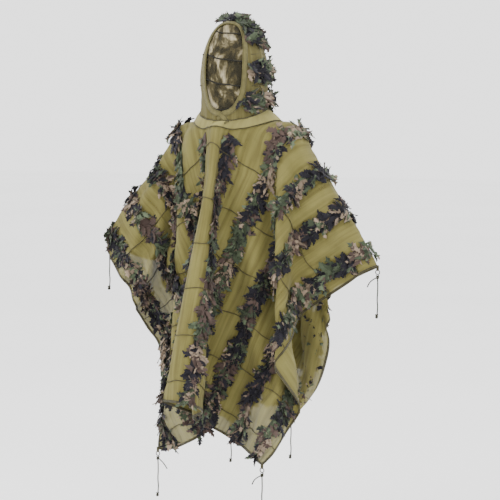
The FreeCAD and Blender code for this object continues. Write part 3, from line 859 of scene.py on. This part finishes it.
def make_leaf_strips(drape, leaf):
    """Ten strips from front hem to back hem; the inner pair stops at the yoke."""
    end = CLOTH_LENGTH / 2 - BINDING
    for number, centre in enumerate(STRIP_CENTRES, start=1):
        for hand, side in ((1, "left"), (-1, "right")):
            seed = 100 * number + (7 if hand > 0 else 31)
            if number > 1:
                spans = [("leaf_strip_%s_%d" % (side, number), -end, end)]
            else:
                neck = YOKE_REACH[1] - 0.005
                spans = [("leaf_strip_front_%s_1" % side, -end, -neck),
                         ("leaf_strip_back_%s_1" % side, neck, end)]
            for cad_node, low, high in spans:
                rows = np.linspace(low, high, max(3, round((high - low) / 0.01)))
                columns = hand * centre + np.linspace(-STRIP_HALF_WIDTH, STRIP_HALF_WIDTH, 5)
                backing = drape.band(cad_node + "_tape", columns, rows, 0.0012, 0.0026, leaf)
                shade_points(backing, np.full(len(backing.data.vertices), 0.8))
                cover = strip_leaves(cad_node + "_leaves", drape, hand * centre, low, high, seed, leaf)
                for piece in (backing, cover):
                    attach(piece, "poncho")
                    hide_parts(cad_node)


def make_tack_cords(drape, material):
    """Thin cords across the sheet, over the strips, in rows at even steps from the shoulders."""
    rng = random.Random(5)
    for face, name in ((-1, "front"), (1, "back")):
        for row, reach in enumerate(TACK_ROWS, start=1):
            u = np.linspace(-CLOTH_WIDTH / 2 + BINDING, CLOTH_WIDTH / 2 - BINDING, 150)
            drift = 0.004 * np.sin(u * 23 + rng.uniform(0, 6)) + 0.002 * np.sin(u * 71 + row)
            gap = np.min(np.abs(np.abs(u)[:, None] - np.array(STRIP_CENTRES)[None]), axis=1)
            lift = 0.0028 + 0.006 * np.clip(1 - gap / 0.03, 0, 1)
            points = drape.at(u, face * reach + drift, lift)
            cord = tube("%s_tack_cord_%d_line" % (name, row), points, TACK_RADIUS, material, 6)
            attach(cord, "poncho")
            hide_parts("%s_tack_cord_%d" % (name, row))


# ------------------------------------------------------------------ hood
def hood_place(turn, height, grow=0.0):
    """Point of the hood: turn is the angle from the face round to the wearer's left, height
    runs from 0 at the seam to 1 at the top."""
    base = HOOD_BASE - SEAM_DIP * max(0.0, math.cos(turn))
    column = HOOD_WAIST - HOOD_BASE
    waist = column / (column + HOOD_RISE * 1.35)
    wide, deep = HOOD_HALF_WIDTH + grow, HOOD_HALF_DEPTH + grow
    if height < waist:
        level, shrink = base + (HOOD_WAIST - base) * height / waist, 1.0
        flare = 1 + HOOD_FLARE * (1 - height / waist) ** 2
        wide, deep = wide * flare, deep * flare
    else:
        angle = (height - waist) / (1 - waist) * math.pi / 2
        level = HOOD_WAIST + (HOOD_RISE + grow) * math.sin(angle)
        shrink = math.cos(angle)
    return Vector((wide * shrink * math.sin(turn), -deep * shrink * math.cos(turn), level))


def hood_front(x, z, grow=0.0):
    """Depth of the hood's front surface at a place seen from the front."""
    wide, deep = HOOD_HALF_WIDTH + grow, HOOD_HALF_DEPTH + grow
    shrink2 = 1.0
    if z > HOOD_WAIST:
        shrink2 = max(0.0, 1 - ((z - HOOD_WAIST) / (HOOD_RISE + grow)) ** 2)
    inner = max(0.0, shrink2 - (x / wide) ** 2)
    return -deep * math.sqrt(inner)


def hood_outward(place):
    """Direction straight out of the hood at a place on it."""
    return Vector((place.x / HOOD_HALF_WIDTH ** 2, place.y / HOOD_HALF_DEPTH ** 2,
                   max(0.0, place.z - HOOD_WAIST) / HOOD_RISE ** 2)).normalized()


def face_ratio(place):
    """Less than one inside the face opening."""
    if place.y > 0:
        return 9.0
    across = abs(place.x / FACE_HALF_WIDTH) ** FACE_SQUARENESS
    upward = abs((place.z - FACE_LEVEL) / FACE_HALF_HEIGHT) ** FACE_SQUARENESS
    return (across + upward) ** (1 / FACE_SQUARENESS)


def face_rim(angle, grow=0.0):
    """Place on the rim of the face opening, seen from the front; grow moves it outward."""
    across = math.copysign(abs(math.cos(angle)) ** (2 / FACE_SQUARENESS), math.cos(angle))
    upward = math.copysign(abs(math.sin(angle)) ** (2 / FACE_SQUARENESS), math.sin(angle))
    return (FACE_HALF_WIDTH + grow) * across, FACE_LEVEL + (FACE_HALF_HEIGHT + grow) * upward


def hood_folds(turn, height):
    """Depth of the hood's soft folds: pleats gathered at the seam and slack at the back."""
    pleats = 0.0022 * math.sin(turn * 17 + 2.0 * math.sin(turn * 3)) * max(0.0, 1 - height * 3.2)
    slack = 0.0040 * noise.noise(Vector((math.sin(turn) * 2.2, math.cos(turn) * 2.2, height * 5)))
    crease = 0.0018 * math.sin(height * 34 + 1.5 * math.cos(turn * 2)) * (0.5 - 0.5 * math.cos(turn))
    return pleats + slack + crease


def make_hood_cloth(material):
    """Hood of one soft shell with an oval face opening."""
    turns, levels = 160, 64
    verts, uvs = [], []
    for row in range(levels + 1):
        height = row / levels
        for k in range(turns):
            turn = 2 * math.pi * k / turns
            place = hood_place(turn, height)
            outward = Vector((place.x, place.y, max(0.0, place.z - HOOD_WAIST))).normalized()
            place += outward * hood_folds(turn, height) * min(1.0, (1 - height) * 6)
            verts.append(place)
            uvs.append((turn * 0.127, place.z))
    faces = [quad for quad in ring_faces(levels + 1, turns)
             if all(face_ratio(verts[number]) > 1.0 for number in quad)]
    piece = add_object("hood_cloth", verts, faces, material, uvs)
    bm = bmesh.new()
    bm.from_mesh(piece.data)
    bmesh.ops.delete(bm, geom=[v for v in bm.verts if not v.link_faces], context="VERTS")
    for vert in bm.verts:
        ratio = face_ratio(vert.co)
        if vert.is_boundary and ratio < 1.25 and vert.co.z > HOOD_BASE + 0.004:
            vert.co.x /= ratio
            vert.co.z = FACE_LEVEL + (vert.co.z - FACE_LEVEL) / ratio
            vert.co.y = hood_front(vert.co.x, vert.co.z)
    bmesh.ops.remove_doubles(bm, verts=bm.verts, dist=0.0008)
    bm.to_mesh(piece.data)
    bm.free()
    thicken(piece, MESH_THICK)
    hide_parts("hood_crown", "hood_left_side", "hood_right_side")
    return piece


def make_face_binding(material):
    """Bound channel round the face; its ends cross under the chin and run into the seam."""
    line = []
    for k in range(121):
        angle = math.radians(-86 + 352 * k / 120)
        x, z = face_rim(angle, 0.006)
        over = 0.004 if k < 60 else 0.0065
        line.append(Vector((x, hood_front(x, z) - over, z)))
    ends = [(-0.018, -0.034), (-0.010, -0.018)]
    first = [Vector((x, hood_front(x, z) - 0.001, z)) for x, z in ends]
    last = [Vector((-x, hood_front(x, z) - 0.003, z)) for x, z in ends[::-1]]
    line = first + line + last
    normals = [hood_outward(place) for place in line]
    piece = ribbon("face_opening_binding_channel", line, normals, FACE_TAPE_WIDTH,
                   FACE_TAPE_THICK, material)
    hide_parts("face_opening_binding")
    return piece


def make_veil(material):
    """Sheer printed veil that fills the face opening, hung slack between its cords."""
    rings, spokes = 26, 96
    verts, uvs = [(0, 0, FACE_LEVEL)], [(0, FACE_LEVEL)]
    for ring in range(1, rings + 1):
        share = ring / rings
        for k in range(spokes):
            rim_x, rim_z = face_rim(2 * math.pi * k / spokes, 0.002)
            x = share * rim_x
            z = FACE_LEVEL + share * (rim_z - FACE_LEVEL)
            verts.append((x, 0, z))
            uvs.append((x, z))
    places = []
    for x, _, z in verts:
        edge = face_ratio(Vector((x, 0, z)))
        slack = max(0.0, 1 - edge ** 2)
        streak = 0.0016 * math.sin(x * 260 + 3 * noise.noise(Vector((x * 30, 0, z * 9))))
        billow = 0.005 * noise.noise(Vector((x * 16, 1.7, z * 13)))
        depth = hood_front(x, z) + 0.003 + slack * (0.006 + streak + billow)
        places.append((x, depth, z))
    faces = [(0, 1 + k, 1 + (k + 1) % spokes) for k in range(spokes)]
    faces += [(a, d, c, b) for a, b, c, d in ring_faces(rings, spokes, 1)]
    piece = add_object("face_veil_cloth", places, faces, material, uvs)
    thicken(piece, VEIL_THICK)
    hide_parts("face_veil")
    return piece


def make_veil_cords(material):
    """Three dark cords across the veil and the dark roll along its lower edge; the roll's near-black
    colour is partly painted shade under the veil's free hem.
    """
    pieces = []
    for cad_node, level, radius, droop, tilt in (
            ("veil_cord_brow", 0.256, 0.0019, 0.003, 0.12),
            ("veil_cord_nose", 0.174, 0.0022, 0.005, 0.18),
            ("veil_cord_mouth", 0.096, 0.0022, 0.006, 0.18),
            # Painted shade: the lower hem roll is a real hem, drawn near black partly to stand for the
            # shade beneath it.
            ("veil_lower_hem", 0.011, 0.0026, 0.003, 0.0)):
        upward = abs((level - FACE_LEVEL) / FACE_HALF_HEIGHT) ** FACE_SQUARENESS
        reach = FACE_HALF_WIDTH * (1 - upward) ** (1 / FACE_SQUARENESS)
        points = []
        for k in range(41):
            x = (reach + 0.003) * (2 * k / 40 - 1)
            z = level - droop * (1 - (x / reach) ** 2) + 0.001 * math.sin(x * 90) - tilt * x
            points.append((x, hood_front(x, z) - 0.0005 + 0.002 * (1 - (x / reach) ** 2), z))
        cord = tube(cad_node + "_line", points, radius, material)
        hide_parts(cad_node)
        pieces.append(cord)
    return pieces


def make_hood_leaves(material):
    """Leaf bands of the hood: over the crown, round the back at the ears, and at the neck."""
    pieces = []
    plans = [
        ("hood_leaf_strip_top", 620, 0.58, 1.0, 51),
        ("hood_leaf_strip_middle", 280, 0.27, 0.42, 52),
        ("hood_leaf_strip_lower", 280, 0.06, 0.17, 53),
    ]
    for cad_node, count, low, high, seed in plans:
        rng = random.Random(seed)
        roots, normals, headings, flats = [], [], [], []
        while len(roots) < count:
            turn = rng.uniform(0, 2 * math.pi)
            share = rng.random()
            height = low + (high - low) * (math.sqrt(share) if high < 1 else 1 - (1 - share) ** 0.5)
            place = hood_place(turn, height, 0.002)
            nearest = 1.05 if low > 0.5 else 1.16
            bare_side = place.x < -0.025 and place.y < 0.035
            if face_ratio(place) < nearest or bare_side:
                continue
            backward = Vector((0.25 * math.sin(turn), 1.0, -0.55))
            swing = Vector([rng.gauss(0, 0.55) for _ in range(3)])
            roots.append(place)
            normals.append(hood_outward(place))
            headings.append(backward + swing)
            flats.append((turn * 0.13 + 4.0, place.z))
        piece = leaves(cad_node + "_leaves", np.array(roots), np.array(normals),
                       np.array(headings), np.array(flats), seed, material, (0.025, 0.046),
                       (0.10, 0.60 if low > 0.5 else 0.90))
        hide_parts(cad_node)
        pieces.append(piece)
    return pieces


def make_hood_tack_cords(material):
    """Two thin cords round the hood between its leaf bands."""
    pieces = []
    for place, level in (("upper", 0.1895), ("lower", 0.0895)):
        points = []
        for k in range(101):
            turn = math.radians(52) + math.radians(256) * k / 100
            shrink = 1.0
            if level > HOOD_WAIST:
                shrink = math.sqrt(1 - ((level - HOOD_WAIST) / HOOD_RISE) ** 2)
            z = level - 0.006 * math.cos(turn) + 0.001 * math.sin(turn * 11)
            points.append(((HOOD_HALF_WIDTH * shrink + 0.003) * math.sin(turn),
                           -(HOOD_HALF_DEPTH * shrink + 0.003) * math.cos(turn), z))
        cord = tube("hood_tack_cord_%s_line" % place, points, HOOD_TACK_RADIUS, material, 6)
        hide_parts("hood_tack_cord_" + place)
        pieces.append(cord)
    return pieces


def make_yoke(drape, material, trim):
    """Smooth collar from the hood seam down onto the sheet, with a piped seam at each edge."""
    turns, rows = 144, 12
    verts, uvs, rims = [], [], {0: [], rows: []}
    for row in range(rows + 1):
        share = row / rows
        for k in range(turns + 1):
            turn = 2 * math.pi * k / turns
            top = HEAD @ hood_place(turn, 0.0, 0.0015) + Vector((0, 0, 0.003))
            u, v = YOKE_REACH[0] * math.sin(turn), -YOKE_REACH[1] * math.cos(turn)
            low = Vector(drape.at(np.array([u]), np.array([v]), np.array([0.0035]))[0])
            place = top.lerp(low, share)
            place.z += 0.004 * math.sin(math.pi * share)
            place += Vector((math.sin(turn), -math.cos(turn), 0)) * (
                0.0006 * math.sin(turn * 13 + 2 * math.sin(turn * 2)) * math.sin(math.pi * share))
            verts.append(place)
            uvs.append((turn * 0.14, -share * 0.06))
            if row in rims:
                rims[row].append(place)
    faces = grid_faces(rows + 1, turns + 1, flip=True)
    yoke = add_object("neck_yoke_cloth", verts, faces, material, uvs)
    bm = bmesh.new()
    bm.from_mesh(yoke.data)
    bmesh.ops.remove_doubles(bm, verts=bm.verts, dist=0.0003)
    bm.to_mesh(yoke.data)
    bm.free()
    thicken(yoke, YOKE_THICK)
    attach(yoke, "poncho")
    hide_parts("neck_yoke")
    for row, name in ((0, "hood_seam_piping"), (rows, "yoke_edge_piping")):
        rim = [p + Vector((p.x, p.y, 0)).normalized() * 0.0012 for p in rims[row]]
        piping = tube(name, rim, PIPING_RADIUS, trim, 6)
        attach(piping, "poncho")


# ------------------------------------------------------------------ ties
def cord_curve(name, points, diameter, material):
    """Cord on one smooth curve; the points are its route."""
    curve = bpy.data.curves.new(name, "CURVE")
    curve.dimensions = "3D"
    spline = curve.splines.new("NURBS")
    spline.points.add(len(points) - 1)
    for control, place in zip(spline.points, points):
        control.co = (*place, 1.0)
    spline.order_u = 3
    spline.use_endpoint_u = True
    curve.resolution_u = 10
    curve.bevel_depth = diameter / 2
    curve.bevel_resolution = 3
    curve.use_fill_caps = True
    curve.materials.append(material)
    cord = bpy.data.objects.new(name, curve)
    SCENE.collection.objects.link(cord)
    return cord


def overhand_knot(name, centre, radius, stretch, strand, material):
    """Tied knot: a trefoil of cord about a centre, stretched along Z."""
    points = []
    for k in range(73):
        a = 2 * math.pi * k / 72
        x = (math.sin(a) + 2 * math.sin(2 * a)) / 3
        y = (math.cos(a) - 2 * math.cos(2 * a)) / 3
        z = -math.sin(3 * a)
        points.append((centre[0] + radius * x, centre[1] + radius * 0.8 * z,
                       centre[2] + radius * stretch * y))
    return tube(name, points, strand / 2, material, 8)


def make_ties(material):
    """Six knotted cords, each with a long hanging tail and a short one."""
    for name, place in TIES.items():
        body = "tie_" + name
        edge = Vector(place)
        knot = edge - Vector((0, 0, LOOP_DROP + KNOT_DROP))
        start = knot - Vector((0, 0, KNOT_RADIUS + 0.0001))
        route = [start + Vector(step) for step in TAIL_ROUTE]
        tail = cord_curve("tie_%s_tail" % name, route, CORD, material)
        end_knot = overhand_knot("tie_%s_end_knot" % name, route[-1] + Vector((0, 0, 0.006)),
                                 *END_KNOT, material)
        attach(tail, body)
        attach(end_knot, body)
        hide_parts("tie_cord_" + name)

        inward = -1 if edge.x > 0 else 1
        short_start = knot + Vector((inward, 0, -0.7)).normalized() * (KNOT_RADIUS + 0.0003)
        route = [short_start + Vector((inward * x, y, z)) for x, y, z in SHORT_ROUTE]
        short = cord_curve("tie_%s_short_tail" % name, route, SHORT_CORD, material)
        body_knot = overhand_knot("tie_%s_knot" % name, knot, *LOOP_KNOT, material)
        for piece in (short, body_knot):
            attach(piece, body)
            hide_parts("tie_knot_" + name)
    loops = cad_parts["tie_loops"]
    loops.data.materials.clear()
    loops.data.materials.append(material)


# ------------------------------------------------------------------ stage
def make_stage():
    """Pale floor, white surround and soft light from above and in front."""
    material, tree, shader = new_material("floor_paint")
    vector = node(tree, "ShaderNodeTexCoord").outputs["Object"]
    tone = ramp(tree, noise_at(tree, vector, 0.6), [(0.3, grey(0.94)), (0.7, grey(0.97))])
    tree.links.new(tone, shader.inputs["Base Color"])
    corners = [(x * FLOOR_HALF_WIDTH, y * FLOOR_HALF_WIDTH, FLOOR_LEVEL)
               for x, y in ((-1, -1), (1, -1), (1, 1), (-1, 1))]
    floor = add_object("floor", corners, [(0, 1, 2, 3)], material)
    world = bpy.data.worlds.new("surround")
    world.use_nodes = True
    background = world.node_tree.nodes["Background"]
    background.inputs["Color"].default_value = (1, 1, 1, 1)
    background.inputs["Strength"].default_value = 2.3
    SCENE.world = world
    lights = [("key", (-1.6, -3.2, 2.4), 2.0, 80), ("fill", (3.0, -2.2, 0.6), 2.4, 30),
              ("top", (0.4, 0.8, 3.2), 2.0, 60)]
    for name, place, size, power in lights:
        data = bpy.data.lights.new(name, "AREA")
        data.size = size
        data.energy = power
        lamp = bpy.data.objects.new(name, data)
        lamp.location = place
        aim = Vector((0, 0, -0.4)) - Vector(place)
        lamp.rotation_euler = aim.to_track_quat("-Z", "Y").to_euler()
        SCENE.collection.objects.link(lamp)


# ------------------------------------------------------------------ build
make_camera()
tie_material = cord_material("tie_cord_braid", (0.014, 0.014, 0.008), (0.036, 0.034, 0.019))
make_ties(tie_material)

olive = mesh_material("olive_mesh_weave", (0.142, 0.125, 0.036), (0.198, 0.178, 0.056), 0.80)
# Painted shade: the hood's mesh is the body's olive mesh painted darker, to stand for the shade on the
# hood.
shaded_hood_olive = mesh_material("hood_mesh_weave_painted_shade", (0.092, 0.080, 0.026), (0.132, 0.117, 0.040), 0.92)
yoke_cloth = mesh_material("yoke_knit", (0.188, 0.168, 0.055), (0.236, 0.212, 0.076), 1.0, 0.3)
edge_tape = tape_material("edge_tape", (0.030, 0.026, 0.009), (0.058, 0.050, 0.019), 0.0025)
face_tape = tape_material("face_tape", (0.088, 0.077, 0.026), (0.128, 0.113, 0.040), 0.0068)
leaf = leaf_material("leaf_print")
dark = cord_material("dark_braid", (0.003, 0.003, 0.002), (0.011, 0.010, 0.006))
tack = cord_material("tack_braid", (0.034, 0.029, 0.011), (0.070, 0.060, 0.026))

draped = halved(smoothed(simulate_sheet(140), 2))
cloth = Drape(pleated(edges_eased(neck_raised(draped))))
make_sheet(cloth, olive)
make_bindings(cloth, edge_tape)
make_tie_tabs(edge_tape)
make_leaf_strips(cloth, leaf)
make_tack_cords(cloth, tack)
make_yoke(cloth, yoke_cloth, edge_tape)

hood_pieces = [make_hood_cloth(shaded_hood_olive), make_face_binding(face_tape),
               make_veil(veil_material("veil_print"))]
hood_pieces += make_veil_cords(dark) + make_hood_leaves(leaf) + make_hood_tack_cords(tack)
for piece in hood_pieces:
    piece.data.transform(HEAD)
    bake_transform(piece)

make_stage()
